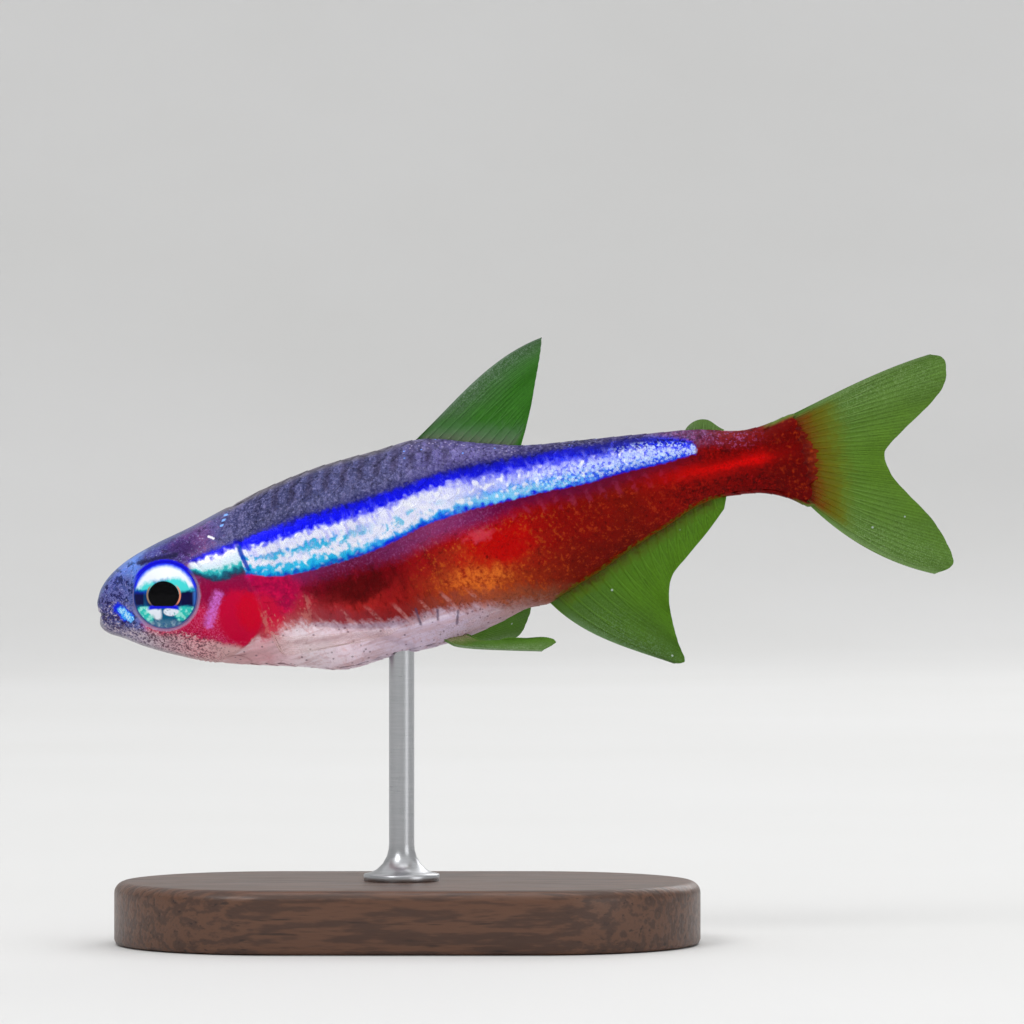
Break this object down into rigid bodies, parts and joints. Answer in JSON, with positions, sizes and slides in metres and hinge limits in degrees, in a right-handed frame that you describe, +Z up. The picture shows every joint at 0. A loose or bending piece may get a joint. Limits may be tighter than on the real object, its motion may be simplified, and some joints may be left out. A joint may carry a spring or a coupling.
{
  "type": "cardinal tetra model on a display stand",
  "caption": "Life-size still model of a cardinal tetra, a small slim aquarium fish with a blue stripe over a red flank, held nose down over a flat base by one rod.",
  "frame": {"origin": "on the floor, under the middle of the whole model's bounding box", "axes": "+Z up, +X from the fish's snout to its tail, +Y to the fish's right; the fish looks along -X and the picture's camera looks along +Y"},
  "size_m": [0.0438, 0.017, 0.031],
  "materials": {
    "head_skin": "wet, faintly pearly skin with fine dark freckles",
    "gill_cover": "wet crimson gill cover with a violet sheen",
    "body_skin": "wet scales, slate on the back, a royal blue stripe, a red flank and a white belly",
    "fin": "thin, half clear membrane with fine rays",
    "tail_fin": "thin, half clear membrane with fine rays, red at its root",
    "eye": "glossy eye with a black pupil and a blue and white iris",
    "stand_wood": "dark wood, satin",
    "stand_metal": "fine brushed steel"
  },
  "bodies": {
    "root": {"head": "head_skin", "gill_cover_left": "gill_cover", "gill_cover_right": "gill_cover", "eye_left": "eye", "eye_right": "eye", "trunk": "body_skin", "tail_stalk": "body_skin", "dorsal_fin": "fin", "adipose_fin": "fin", "anal_fin": "fin", "caudal_fin_upper": "tail_fin", "caudal_fin_lower": "tail_fin", "pelvic_fin_left": "fin", "pelvic_fin_right": "fin", "pectoral_fin_left": "fin", "pectoral_fin_right": "fin", "stand_base": "stand_wood", "stand_rod": "stand_metal"}
  },
  "joints": []
}
